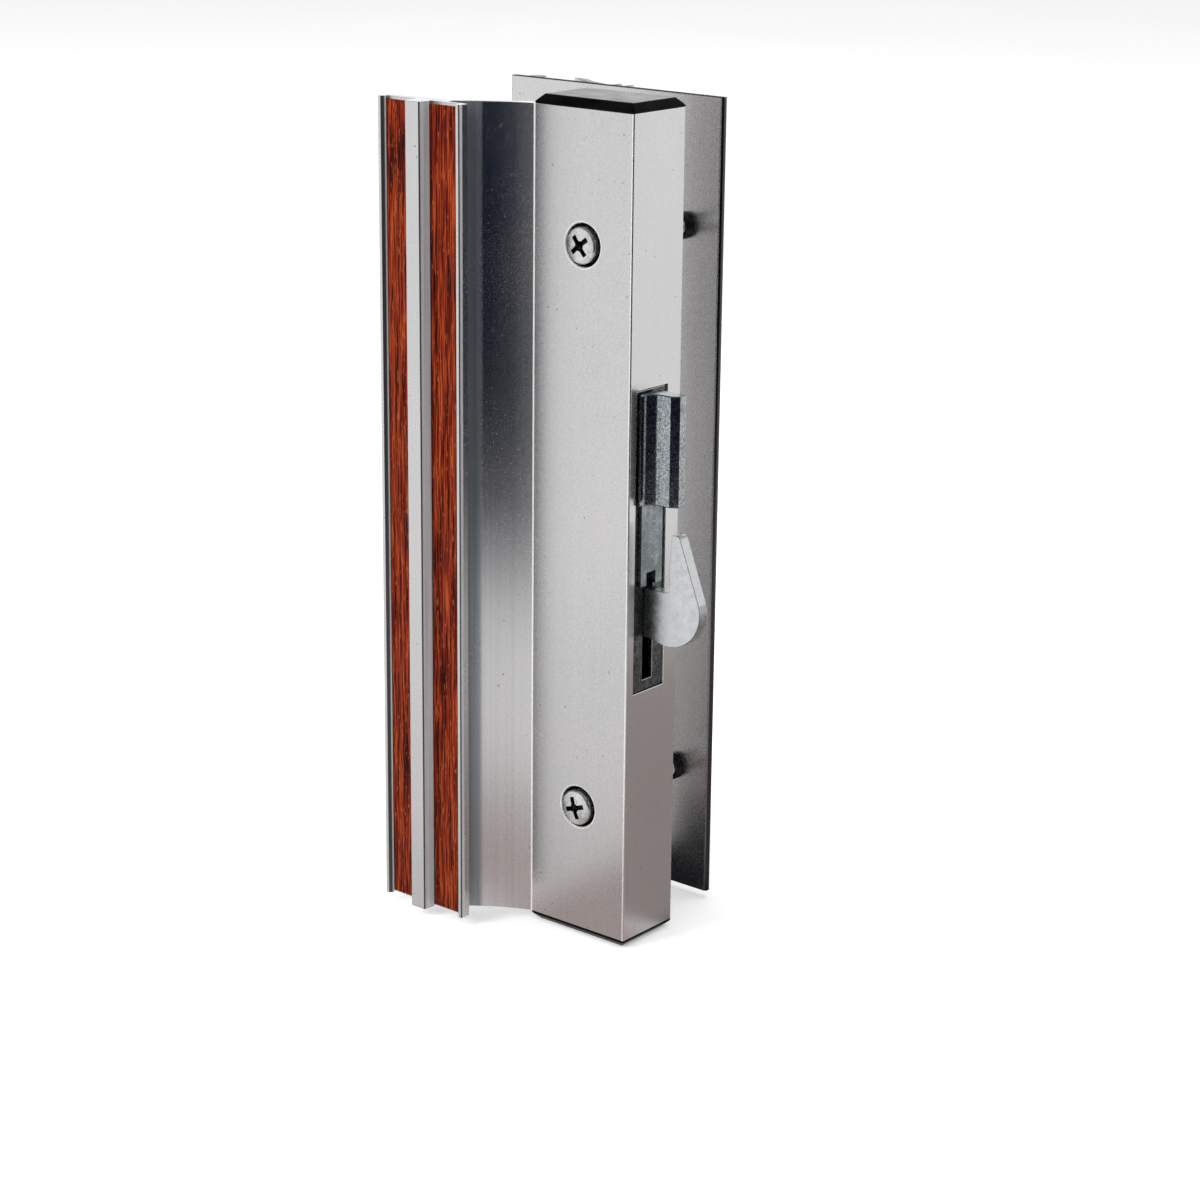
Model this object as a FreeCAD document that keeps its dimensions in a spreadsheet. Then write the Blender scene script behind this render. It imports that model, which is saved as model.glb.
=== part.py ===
import FreeCAD, Part
import os
import math
import Sketcher

V = FreeCAD.Vector
doc = FreeCAD.newDocument("patio_door_lock")

# ---------------------------------------------------------------------------
# Driving dimensions, millimetres. The building frame of the sketches has
#   X = 0  the edge face that meets the jamb, the lock body lies towards -X
#   Y = 0  the room-side front face, the door lies towards +Y
#   Z = 0  the lower cut end of the aluminium section
# frame_x, frame_y, frame_z move every piece into the part's own frame, whose
# origin is midway between the two mounting screws on the face that lies
# against the door.
# ---------------------------------------------------------------------------
sheet = doc.addObject("Spreadsheet::Sheet", "Dims")
DIMS = [
    ("body_len", 203.2, "length of the aluminium sections, 8 inches"),
    ("box_w", 29.7, "width of the box section"),
    ("box_d", 19.15, "depth of the box section"),
    ("wall", 1.6, "wall of the box section"),
    ("web_t", 2.0, "thickness of the web at the box"),
    ("web_r", 52.3, "radius of the concave web"),
    ("grip_x", -52.6, "centre line of the grip"),
    ("grip_half", 13.0, "half width of the grip"),
    ("lip_y", -15.4, "front of the grip lips"),
    ("insert_y", -14.3, "front face of the wood-grain strips"),
    ("floor_y", -13.5, "floor of the insert channels"),
    ("rib_y", -17.4, "front of the middle rib"),
    ("rib_half", 2.25, "half width of the rib at its front"),
    ("rib_root", 2.7, "half width of the rib at the strips"),
    ("chan_out", 11.2, "outer edge of a channel mouth from the grip centre"),
    ("dovetail", 0.5, "undercut of the channels"),
    ("insert_gap", 0.04, "clearance of a strip in its channel"),
    ("insert_short", 0.7, "a strip stops this far from each end"),
    ("screw_span", 139.7, "distance between mounting screws, 5 1/2 inches"),
    ("head_hole_r", 5.15, "hole for a screw head in the front wall"),
    ("back_hole_r", 2.7, "screw hole in the back wall"),
    ("head_r", 4.4, "screw head radius"),
    ("screw_r", 2.4, "screw shank radius"),
    ("screw_core_r", 2.0, "core radius of the threaded length of a screw"),
    ("thread_from", 13.0, "where the threaded length of a screw begins"),
    ("head_seat", 0.85, "underside of a screw head, from the front face"),
    ("screw_tip", 40.9, "end of a screw"),
    ("sleeve_r", 4.1, "outer radius of a screw sleeve"),
    ("sleeve_bore_r", 2.6, "bore radius of a screw sleeve"),
    ("slot_front", 2.6, "front side of the slot in the edge face"),
    ("slot_back", 14.2, "back side of the slot in the edge face"),
    ("slot_low", 63.5, "lower end of the slot"),
    ("slot_high", 138.4, "upper end of the slot"),
    ("mid_y", 8.4, "middle plane of the latch"),
    ("case_low", 48.0, "lower end of the latch case"),
    ("case_high", 154.0, "upper end of the latch case"),
    ("case_back", 13.0, "depth of the latch case behind the edge face"),
    ("sheet_t", 1.2, "steel sheet of the latch case"),
    ("face_in", 0.5, "raised face of the case below the edge face"),
    ("track_half", 1.9, "half width of the track slot in the case"),
    ("track_low", 66.2, "lower end of the track slot"),
    ("track_high", 132.9, "upper end of the track slot"),
    ("strip_half", 4.0, "half width of the slide strip"),
    ("strip_t", 0.9, "thickness of the slide strip"),
    ("strip_low", 90.2, "lower end of the slide strip"),
    ("strip_high", 136.6, "upper end of the slide strip"),
    ("thumb_low", 110.6, "lower end of the thumb piece"),
    ("thumb_high", 137.6, "upper end of the thumb piece"),
    ("thumb_out", 8.8, "reach of the thumb piece from the edge face"),
    ("hook_t", 3.0, "thickness of the hook plate"),
    ("arm_low", 77.2, "lower edge of the hook arm"),
    ("arm_high", 89.5, "upper edge of the hook arm"),
    ("hook_in", -9.5, "inner edge of the hook plate"),
    ("notch_a", 80.0, "detent notch in use when locked"),
    ("travel", 10.5, "travel of the slide from locked down to open"),
    ("stile", 19.05, "thickness of the door stile that is clamped"),
    ("pull_w", 67.0, "width of the outside plate"),
    ("pull_right", -3.5, "edge of the outside plate nearest the jamb"),
    ("pull_t", 2.0, "thickness of the outside plate"),
    ("nut_r", 3.3, "radius of a threaded post"),
    ("nut_out", 2.5, "a threaded post stands this far out of the plate"),
    ("nut_flange_r", 5.2, "flange of a threaded post"),
    ("cap_h", 2.2, "height of an end cap outside the section"),
    ("cap_land", 0.5, "upright edge of an end cap"),
    ("cap_plug", 9.0, "depth of the cap's plug in the section"),
    ("slip", 0.1, "clearance of sliding fits"),
]
VAL = {}
for row, (alias, value, note) in enumerate(DIMS, start=1):
    sheet.set("A%d" % row, alias)
    sheet.set("B%d" % row, repr(value))
    sheet.set("C%d" % row, note)
    sheet.setAlias("B%d" % row, alias)
    VAL[alias] = value
doc.recompute()


class Q:
    """A size: its value now, and the text of the expression that drives it."""

    def __init__(self, v, s):
        self.v, self.s = float(v), s

    @staticmethod
    def of(o):
        return o if isinstance(o, Q) else Q(o, ("%.6g" % o) if o >= 0 else "(%.6g)" % o)

    def __add__(self, o):
        o = Q.of(o)
        return Q(self.v + o.v, "(%s + %s)" % (self.s, o.s))

    __radd__ = __add__

    def __sub__(self, o):
        o = Q.of(o)
        return Q(self.v - o.v, "(%s - %s)" % (self.s, o.s))

    def __rsub__(self, o):
        return Q.of(o) - self

    def __mul__(self, o):
        o = Q.of(o)
        return Q(self.v * o.v, "(%s * %s)" % (self.s, o.s))

    __rmul__ = __mul__

    def __truediv__(self, o):
        o = Q.of(o)
        return Q(self.v / o.v, "(%s / %s)" % (self.s, o.s))

    def __neg__(self):
        return Q(-self.v, "(0 - %s)" % self.s)


def D(alias):
    return Q(VAL[alias], "Dims." + alias)


# offsets from the building frame to the part's own frame
FX = D("box_w") / 2
FY = -D("box_d")
FZ = -(D("body_len") / 2)
SCREW_X = -(D("box_w") / 2)
SCREW_HI = D("body_len") / 2 + D("screw_span") / 2
SCREW_LO = D("body_len") / 2 - D("screw_span") / 2

NODES = []


def bind(obj, prop, q):
    obj.setExpression(prop, Q.of(q).s)


def place(obj, x, y, z):
    for axis, q in (("x", x), ("y", y), ("z", z)):
        bind(obj, "Placement.Base." + axis, q)


# ---------------------------------------------------------------------------
# Bodies with sketches
# ---------------------------------------------------------------------------
class BodyMaker:
    def __init__(self, name, dx=0.0, dy=0.0, dz=0.0, rot=None):
        self.name = name
        self.body = doc.addObject("PartDesign::Body", name)
        self.body.Label = name
        if rot is not None:
            self.body.Placement = FreeCAD.Placement(V(0, 0, 0), rot)
        place(self.body, FX + dx, FY + dy, FZ + dz)
        self.n = 0
        NODES.append(self.body)

    def plane(self, role):
        for f in self.body.Origin.OriginFeatures:
            if f.Role == role:
                return f
        raise RuntimeError(role)

    def sketch(self, loops, role="XY_Plane", off=0.0):
        self.n += 1
        sk = self.body.newObject("Sketcher::SketchObject", "%s_sketch%d" % (self.name, self.n))
        sk.AttachmentSupport = [(self.plane(role), "")]
        sk.MapMode = "FlatFace"
        off = Q.of(off)
        if off.s != "0":
            bind(sk, "AttachmentOffset.Base.z", off)
        for loop in loops:
            if loop[0] == "circle":
                self.add_circle(sk, *loop[1:])
            else:
                self.add_loop(sk, loop)
        return sk

    def pin(self, sk, geo, pos, x, y):
        """Ties a point of the sketch to two driving expressions."""
        for kind, q, axis in (("DistanceX", x, -2), ("DistanceY", y, -1)):
            q = Q.of(q)
            if q.s == "0":
                sk.addConstraint(Sketcher.Constraint("PointOnObject", geo, pos, axis))
                continue
            i = sk.addConstraint(Sketcher.Constraint(kind, -1, 1, geo, pos, q.v))
            sk.setExpression("Constraints[%d]" % i, q.s)

    def add_circle(self, sk, x, y, r):
        x, y, r = Q.of(x), Q.of(y), Q.of(r)
        g = sk.addGeometry(Part.Circle(V(x.v, y.v, 0), V(0, 0, 1), r.v), False)
        i = sk.addConstraint(Sketcher.Constraint("Radius", g, r.v))
        sk.setExpression("Constraints[%d]" % i, r.s)
        self.pin(sk, g, 3, x, y)

    def add_loop(self, sk, verts):
        """verts: (x, y) or (x, y, radius, side): the run from this corner to
        the next is an arc of that radius, side 1 with its centre on the left
        of the way there, -1 on the right."""
        ends = []
        n = len(verts)
        for k in range(n):
            a, b = verts[k], verts[(k + 1) % n]
            ax, ay, bx, by = [Q.of(q).v for q in (a[0], a[1], b[0], b[1])]
            if len(a) == 2:
                g = sk.addGeometry(Part.LineSegment(V(ax, ay, 0), V(bx, by, 0)), False)
                ends.append((g, 1, 2))
            else:
                r, side = Q.of(a[2]), a[3]
                mx, my = (ax + bx) / 2, (ay + by) / 2
                half = math.hypot(bx - ax, by - ay) / 2
                h = math.sqrt(max(r.v * r.v - half * half, 0.0))
                nx, ny = -(by - ay) / (2 * half), (bx - ax) / (2 * half)
                cx, cy = mx + side * h * nx, my + side * h * ny
                t0, t1 = math.atan2(ay - cy, ax - cx), math.atan2(by - cy, bx - cx)
                if side < 0:
                    t0, t1 = t1, t0
                if t1 < t0:
                    t1 += 2 * math.pi
                circle = Part.Circle(V(cx, cy, 0), V(0, 0, 1), r.v)
                g = sk.addGeometry(Part.ArcOfCircle(circle, t0, t1), False)
                i = sk.addConstraint(Sketcher.Constraint("Radius", g, r.v))
                sk.setExpression("Constraints[%d]" % i, r.s)
                ends.append((g, 1, 2) if side > 0 else (g, 2, 1))
        for k in range(n):
            g0, _, e0 = ends[k]
            g1, s1, _ = ends[(k + 1) % n]
            sk.addConstraint(Sketcher.Constraint("Coincident", g0, e0, g1, s1))
        for k in range(n):
            g, s, _ = ends[k]
            self.pin(sk, g, s, verts[k][0], verts[k][1])

    def pad(self, sk, length, back=False):
        self.n += 1
        f = self.body.newObject("PartDesign::Pad", "%s_pad%d" % (self.name, self.n))
        f.Profile = sk
        bind(f, "Length", length)
        f.Reversed = back
        sk.Visibility = False
        doc.recompute()
        return f

    def pocket(self, sk, depth, back=False, taper=None):
        before = self.body.Shape.Volume
        self.n += 1
        f = self.body.newObject("PartDesign::Pocket", "%s_pocket%d" % (self.name, self.n))
        f.Profile = sk
        bind(f, "Length", depth)
        f.Reversed = back
        if taper is not None:
            f.TaperAngle = taper
        doc.recompute()
        if not self.body.Shape.Volume < before - 1e-6:
            raise RuntimeError("%s cuts nothing" % f.Name)
        return f

    def revolve(self, sk):
        self.n += 1
        f = self.body.newObject("PartDesign::Revolution", "%s_turn%d" % (self.name, self.n))
        f.Profile = sk
        f.ReferenceAxis = (sk, ["V_Axis"])
        f.Angle = 360.0
        doc.recompute()
        return f

    def drill(self, kind, role, u, v, w, height, r1, r2=None):
        """A round cut: u and v lie in the plane, w along its normal."""
        before = self.body.Shape.Volume
        self.n += 1
        f = self.body.newObject("PartDesign::Subtractive" + kind, "%s_hole%d" % (self.name, self.n))
        f.AttachmentSupport = [(self.plane(role), "")]
        f.MapMode = "FlatFace"
        for axis, q in (("x", u), ("y", v), ("z", w)):
            bind(f, "AttachmentOffset.Base." + axis, q)
        bind(f, "Height", height)
        if kind == "Cylinder":
            bind(f, "Radius", r1)
        else:
            bind(f, "Radius1", r1)
            bind(f, "Radius2", r2)
        doc.recompute()
        if not self.body.Shape.Volume < before - 1e-6:
            raise RuntimeError("%s cuts nothing" % f.Name)
        return f

    def round_edges(self, radius, pick, kind="Fillet"):
        tip = self.body.Tip
        names = ["Edge%d" % (i + 1) for i, e in enumerate(tip.Shape.Edges) if pick(e)]
        if not names:
            raise RuntimeError("%s: no edge to round" % self.name)
        self.n += 1
        f = self.body.newObject("PartDesign::" + kind, "%s_%s%d" % (self.name, kind.lower(), self.n))
        f.Base = (tip, names)
        if kind == "Fillet":
            bind(f, "Radius", radius)
        else:
            bind(f, "Size", radius)
        doc.recompute()
        if "Invalid" in f.State:
            raise RuntimeError("%s fails" % f.Name)
        return f


def upright(e, x, y, tol=0.02):
    """Is e a straight edge along Z through x, y?"""
    a, b = e.Vertexes[0].Point, e.Vertexes[-1].Point
    return (
        len(e.Vertexes) == 2
        and abs(a.x - x) < tol and abs(b.x - x) < tol
        and abs(a.y - y) < tol and abs(b.y - y) < tol
    )


def level(e, z, tol=0.02):
    """Does e lie wholly at height z?"""
    box = e.BoundBox
    return abs(box.ZMin - z) < tol and abs(box.ZMax - z) < tol


# ---------------------------------------------------------------------------
# Primitives and booleans
# ---------------------------------------------------------------------------
def box(name, x0, x1, y0, y1, z0, z1):
    o = doc.addObject("Part::Box", name)
    bind(o, "Length", Q.of(x1) - x0)
    bind(o, "Width", Q.of(y1) - y0)
    bind(o, "Height", Q.of(z1) - z0)
    place(o, FX + x0, FY + y0, FZ + z0)
    return o


def rod(name, axis, x, y, z, length, r):
    o = doc.addObject("Part::Cylinder", name)
    bind(o, "Radius", r)
    bind(o, "Height", length)
    rot = {"x": FreeCAD.Rotation(V(0, 1, 0), 90), "y": FreeCAD.Rotation(V(1, 0, 0), -90), "z": FreeCAD.Rotation()}[axis]
    o.Placement = FreeCAD.Placement(V(0, 0, 0), rot)
    place(o, FX + x, FY + y, FZ + z)
    return o


def cone(name, axis, x, y, z, length, r1, r2):
    o = doc.addObject("Part::Cone", name)
    bind(o, "Radius1", r1)
    bind(o, "Radius2", r2)
    bind(o, "Height", length)
    rot = {"x": FreeCAD.Rotation(V(0, 1, 0), 90), "y": FreeCAD.Rotation(V(1, 0, 0), -90), "z": FreeCAD.Rotation()}[axis]
    o.Placement = FreeCAD.Placement(V(0, 0, 0), rot)
    place(o, FX + x, FY + y, FZ + z)
    return o


def fuse(name, *items):
    o = doc.addObject("Part::MultiFuse", name)
    o.Shapes = list(items)
    o.Refine = True
    return o


def cut(name, base, *tools):
    o = doc.addObject("Part::Cut", name)
    o.Base = base
    o.Tool = tools[0] if len(tools) == 1 else fuse(name + "_tools", *tools)
    o.Refine = True
    return o


def node(obj, name):
    obj.Label = name
    NODES.append(obj)
    return obj


# ---------------------------------------------------------------------------
# 1. Room-side handle: one aluminium section with box, web and fluted grip
# ---------------------------------------------------------------------------
L, W, DEP, T = D("body_len"), D("box_w"), D("box_d"), D("wall")
GX, GH = D("grip_x"), D("grip_half")
CO, DT = D("chan_out"), D("dovetail")
LIP, INS, FLO, RIB = D("lip_y"), D("insert_y"), D("floor_y"), D("rib_y")
RH, RR = D("rib_half"), D("rib_root")

h = BodyMaker("interior_handle")
outline = [
    (0.0, 0.0),
    (0.0, DEP),
    (-W, DEP),
    (-W, D("web_t") + 0.5, D("web_r") + D("web_t"), 1),   # back of the web
    (GX + 4.2, -9.7, 70.0, 1),                             # back of the grip
    (GX - GH + 1.6, -11.5, 1.6, 1),
    (GX - GH, -13.1),
    (GX - GH, LIP + 0.35, 0.35, 1),
    (GX - GH + 0.35, LIP),
    (GX - CO - 0.75, LIP),
    (GX - CO, INS),
    (GX - CO - DT, FLO),
    (GX - RR + DT, FLO),
    (GX - RR, INS),
    (GX - RH - 0.05, RIB + 0.4, 0.4, 1),
    (GX - RH + 0.35, RIB),
    (GX + RH - 0.35, RIB, 0.4, 1),
    (GX + RH + 0.05, RIB + 0.4),
    (GX + RR, INS),
    (GX + RR - DT, FLO),
    (GX + CO + DT, FLO),
    (GX + CO, INS),
    (GX + CO + 0.75, LIP),
    (GX + GH - 0.35, LIP, 0.35, 1),
    (GX + GH, LIP + 0.35),
    (GX + GH, -12.7, 0.4, 1),
    (GX + GH - 0.4, -12.3),
    (GX + 7.6, -12.3, 1.3, -1),
    (GX + 6.55, -10.55, D("web_r"), -1),                   # front of the web
    (-W, 0.0),
]
tube = [
    (-T, T),
    (-T, DEP - T),
    (-W + T, DEP - T),
    (-W + T, T),
]
h.pad(h.sketch([outline, tube]), L)
h.round_edges(0.4, lambda e: upright(e, 0, 0) or upright(e, 0, VAL["box_d"]) or upright(e, -VAL["box_w"], VAL["box_d"]))
# slot in the edge face
slot = [
    (D("slot_front"), D("slot_low")),
    (D("slot_back"), D("slot_low")),
    (D("slot_back"), D("slot_high")),
    (D("slot_front"), D("slot_high")),
]
h.pocket(h.sketch([slot], "YZ_Plane"), T + 0.3)
for z in (SCREW_HI, SCREW_LO):
    h.drill("Cylinder", "XZ_Plane", SCREW_X, z, -(T + 0.2), T + 0.4, D("head_hole_r"))
    h.drill("Cone", "XZ_Plane", SCREW_X, z, -0.3, 0.35, D("head_hole_r") - 0.01, D("head_hole_r") + 0.35)
    h.drill("Cylinder", "XZ_Plane", SCREW_X, z, -(DEP + 0.2), T + 0.4, D("back_hole_r"))
# countersunk holes in the back wall for the two screws of the latch case
CASE_SCREW_X = Q.of(-8.0)
CASE_SCREW_Z = (D("case_low") + 8.0, D("case_high") - 8.0)
for z in CASE_SCREW_Z:
    h.drill("Cylinder", "XZ_Plane", CASE_SCREW_X, z, -(DEP + 0.2), T + 0.4, 1.6)
    h.drill("Cone", "XZ_Plane", CASE_SCREW_X, z, -(DEP + 0.05), 1.4, 2.95, 1.55)

# ---------------------------------------------------------------------------
# 2. Wood-grain strips, dovetailed into the grip
# ---------------------------------------------------------------------------
G = D("insert_gap")
for name, side in (("grip_insert_outer", -1), ("grip_insert_inner", 1)):
    b = BodyMaker(name, 0.0, 0.0, D("insert_short"))
    a0, a1 = GX + side * (RR + G), GX + side * (CO - G)
    f0, f1 = GX + side * (RR - DT + 2 * G), GX + side * (CO + DT - 2 * G)
    b.pad(b.sketch([[(a0, INS), (f0, FLO - G), (f1, FLO - G), (a1, INS)]]), L - 2 * D("insert_short"))

# ---------------------------------------------------------------------------
# 3. End caps: chamfered black covers with a hollow plug
# ---------------------------------------------------------------------------
CH, CL, CP, S = D("cap_h"), D("cap_land"), D("cap_plug"), D("slip")
for name, top in (("top_end_cap", True), ("bottom_end_cap", False)):
    b = BodyMaker(name, 0.0, 0.0, L if top else 0.0, None if top else FreeCAD.Rotation(V(1, 0, 0), 180))
    s = 1 if top else -1
    # the lower cap is the upper one turned over, so its Y runs the other way
    face = [(0.0, 0.0), (0.0, s * DEP), (-W, s * DEP), (-W, 0.0)]
    b.pad(b.sketch([face]), CH)
    b.round_edges(CH - CL, lambda e: level(e, VAL["cap_h"]), "Chamfer")
    plug = [(-T - S, s * (T + S)), (-T - S, s * (DEP - T - S)), (-W + T + S, s * (DEP - T - S)), (-W + T + S, s * (T + S))]
    w = 1.4
    core = [(-T - S - w, s * (T + S + w)), (-T - S - w, s * (DEP - T - S - w)), (-W + T + S + w, s * (DEP - T - S - w)), (-W + T + S + w, s * (T + S + w))]
    b.pad(b.sketch([plug, core]), CP, back=True)

# ---------------------------------------------------------------------------
# 4. Outside pull: flat plate with a curved pull and a screw channel
# ---------------------------------------------------------------------------
PY = DEP + D("stile")
PO = PY + D("pull_t")
PR = D("pull_right")
PL = PR - D("pull_w")
b = BodyMaker("exterior_pull")
b.pad(b.sketch([[
    (PR, PY),
    (PR, PO),
    (-34.5, PO),
    (-34.5, PO + 2.8),
    (-35.6, PO + 2.8),
    (-35.6, PO),
    (-38.2, PO),
    (-38.2, PO + 2.8),
    (-39.3, PO + 2.8),
    (-39.3, PO),
    (-41.0, PO, 40.0, -1),
    (-61.6, PO + 15.4, 2.2, 1),
    (-65.2, PO + 13.7, 2.2, 1),
    (-62.3, PO + 11.61, 42.0, 1),
    (-46.3, PO),
    (-62.1, PO),                                           # stiffening bead
    (-62.1, PO + 1.2, 2.2, 1),
    (-66.5, PO + 1.2),
    (-66.5, PO),
    (PL, PO),
    (PL, PY),
]]), L)
b.round_edges(0.9, lambda e: upright(e, PR.v, PY.v) or upright(e, PR.v, PO.v) or upright(e, PL.v, PY.v) or upright(e, PL.v, PO.v))
# the curved pull is cut back on a slant at both ends
b.pocket(b.sketch([
    [(PO + 4.5, L + 0.5), (PO + 24.0, L - 19.0), (PO + 24.0, L + 0.5)],
    [(PO + 4.5, Q.of(-0.5)), (PO + 24.0, Q.of(-0.5)), (PO + 24.0, Q.of(19.0))],
], "YZ_Plane"), D("pull_w") + 10.0)
for z in (SCREW_HI, SCREW_LO):
    b.drill("Cylinder", "XZ_Plane", SCREW_X, z, -(PO + 0.2), D("pull_t") + 0.4, D("nut_r") + 0.02)

# ---------------------------------------------------------------------------
# 5. Threaded posts, screw sleeves and mounting screws
# ---------------------------------------------------------------------------
NR, NF, SR = D("nut_r"), D("nut_flange_r"), D("screw_r")
for where, z in (("upper", SCREW_HI), ("lower", SCREW_LO)):
    b = BodyMaker("post_nut_" + where, SCREW_X, 0.0, z)
    y0 = PY - D("nut_out")
    b.revolve(b.sketch([[
        (SR + 0.02, y0 + 0.35),
        (SR + 0.37, y0),
        (NR - 0.3, y0),
        (NR, y0 + 0.3),
        (NR, PO),
        (NF, PO),
        (NF, PO + 0.9),
        (NF - 0.3, PO + 1.2),
        (SR + 0.02, PO + 1.2),
    ]]))
    b = BodyMaker("screw_sleeve_" + where, SCREW_X, 0.0, z)
    b.revolve(b.sketch([[
        (D("sleeve_bore_r"), D("head_seat")),
        (D("sleeve_r") - 0.3, D("head_seat")),
        (D("sleeve_r"), D("head_seat") + 0.3),
        (D("sleeve_r"), DEP - T - 0.3),
        (D("sleeve_r") - 0.3, DEP - T),
        (D("sleeve_bore_r"), DEP - T),
    ]]))

for where, z, turn in (("upper", SCREW_HI, 52.0), ("lower", SCREW_LO, -18.0)):
    b = BodyMaker("mounting_screw_" + where, SCREW_X, 0.0, z, FreeCAD.Rotation(V(0, 1, 0), turn))
    HR, HS, CR = D("head_r"), D("head_seat"), D("screw_core_r")
    b.revolve(b.sketch([[
        (0.0, HS - 2.3),
        (0.0, D("screw_tip")),
        (CR - 0.6, D("screw_tip")),
        (CR, D("screw_tip") - 0.6),
        (CR, D("thread_from") + (SR - CR)),
        (SR, D("thread_from")),
        (SR, HS),
        (HR, HS),
        (HR, HS - 1.42, 0.5, -1),
        (HR - 0.42, HS - 1.86, 16.0, -1),
    ]]))
    a, c = 0.6, 2.85
    b.pocket(b.sketch([[
        (c, a), (a, a), (a, c), (-a, c), (-a, a), (-c, a),
        (-c, -a), (-a, -a), (-a, -c), (a, -c), (a, -a), (c, -a),
    ]], "XZ_Plane", 2.7 - HS), 1.8)
    b.drill("Cone", "XZ_Plane", 0.0, 0.0, -(HS - 0.3), 2.4, 0.55, 1.35)

# ---------------------------------------------------------------------------
# 6. Latch case: steel channel with a raised face in the slot
# ---------------------------------------------------------------------------
ST, FI, MY = D("sheet_t"), D("face_in"), D("mid_y")
CB, C0, C1 = -D("case_back"), D("case_low"), D("case_high")
c = 0.1
fx_out = -(T + c)                      # front of the channel's web, behind the edge wall
outer = box("case_outer", CB, fx_out, T + c, DEP - T - c, C0, C1)
hollow = box("case_hollow", CB - 1, fx_out - ST, T + c + ST, DEP - T - c - ST, C0 - 1, C1 + 1)
boss = box("case_boss", fx_out - ST, -FI, D("slot_front") + 0.2, D("slot_back") - 0.2, D("slot_low") + 0.3, D("slot_high") - 0.3)
void = box("case_void", fx_out - ST - 1, -FI - ST, D("slot_front") + 0.2 + ST, D("slot_back") - 0.2 - ST, D("slot_low") + 0.3 + ST, D("slot_high") - 0.3 - ST)
track = box("case_track", -FI - ST - 1, -FI + 1, MY - D("track_half"), MY + D("track_half"), D("track_low"), D("track_high"))
tools = [void, track]
for i, z in enumerate(CASE_SCREW_Z):
    tools.append(rod("case_tap%d" % i, "y", CASE_SCREW_X, DEP - T - c - ST - 1, z, ST + 2, 1.5))
WIN_Z = (70.0, 126.0)
for i, z in enumerate(WIN_Z):
    tools.append(box("case_window_f%d" % i, CB - 1, CB + ST + 0.05, T + c - 1, T + c + ST + 1, Q.of(z) - 0.05, z + 6.05))
    tools.append(box("case_window_b%d" % i, CB - 1, CB + ST + 0.05, DEP - T - c - ST - 1, DEP - T - c + 1, Q.of(z) - 0.05, z + 6.05))
channel = cut("case_channel", outer, hollow)
shell = fuse("case_shell", channel, boss)
raw = cut("case_raw", shell, *tools)
doc.recompute()
bends = doc.addObject("Part::Fillet", "latch_case")
bends.Base = raw
picked = []
for i, e in enumerate(raw.Shape.Edges):
    for y in (VAL["wall"] + c, VAL["box_d"] - VAL["wall"] - c):
        if upright(e, fx_out.v + FX.v, y + FY.v):
            picked.append((i + 1, 1.0, 1.0))
bends.Edges = picked
node(bends, "latch_case")

# plate that closes the case behind the hook, with four ears in the windows
bp = [box("back_plate_main", CB, CB + ST, T + c + ST + 0.05, DEP - T - c - ST - 0.05, 58.0, 144.0)]
for i, z in enumerate(WIN_Z):
    bp.append(box("back_plate_ears%d" % i, CB, CB + ST, T + c, DEP - T - c, z, z + 6.0))
bp_hole = rod("back_plate_hole", "x", CB - 1, 8.5, 65.0, ST + 2, 1.0)
node(cut("case_back_plate", fuse("back_plate_all", *bp), bp_hole), "case_back_plate")

# screws that hold the case to the back wall
for where, z in (("lower", CASE_SCREW_Z[0]), ("upper", CASE_SCREW_Z[1])):
    b = BodyMaker("case_screw_" + where, CASE_SCREW_X, 0.0, z)
    y = DEP - 0.1
    b.revolve(b.sketch([[
        (0.0, y - 5.0),
        (1.1, y - 5.0),
        (1.5, y - 4.6),
        (1.5, y - 1.3),
        (2.75, y - 0.05),
        (2.7, y),
        (0.0, y),
    ]]))
    b.pocket(b.sketch([[
        (1.4, 0.28), (0.28, 0.28), (0.28, 1.4), (-0.28, 1.4), (-0.28, 0.28), (-1.4, 0.28),
        (-1.4, -0.28), (-0.28, -0.28), (-0.28, -1.4), (0.28, -1.4), (0.28, -0.28), (1.4, -0.28),
    ]], "XZ_Plane", -(y + 0.2)), 1.0, back=True)

# ---------------------------------------------------------------------------
# 7. Slide: strip, thumb piece, inner plate, hook and their rivets
# ---------------------------------------------------------------------------
SX = -FI + 0.05                         # back of the strip, just off the case
SF = SX + D("strip_t")                  # its front
RZ = (117.0, 130.5)                     # rivets under the thumb piece
HT = D("hook_t")
HY0, HY1 = MY - HT / 2, MY + HT / 2
strip = box("strip_plate", SX, SF, MY - D("strip_half"), MY + D("strip_half"), D("strip_low"), D("strip_high"))
window = box("strip_window", SX - 1, SF + 1, HY0 - 0.35, HY1 + 0.1, D("strip_low") - 1, D("strip_low") + 3.2)
node(cut("slide_strip", strip, window, *[rod("strip_hole%d" % i, "x", SX - 1, MY, z, D("strip_t") + 2, 1.5) for i, z in enumerate(RZ)]), "slide_strip")

TO = D("thumb_out")
b = BodyMaker("thumb_slide", 0.0, 0.0, D("thumb_low"))
b.pad(b.sketch([[
    (SF, 2.9),
    (SF + 0.55, 2.9),
    (SF + 0.55, 3.3, 3.0, -1),
    (SF + 3.55, 6.3),
    (6.9, 6.45),
    (TO, 7.7),
    (TO, 9.9),
    (TO - 0.3, 10.2),
    (SF, 10.2),
]]), D("thumb_high") - D("thumb_low"))
span = VAL["thumb_high"] - VAL["thumb_low"]
b.round_edges(0.25, lambda e: (level(e, 0.0) or level(e, span)) and e.BoundBox.XMin > SF.v + 3.0, "Chamfer")
for z in RZ:
    b.drill("Cylinder", "YZ_Plane", MY, Q.of(z) - D("thumb_low"), SF - 0.5, 3.3, 1.5)

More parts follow.
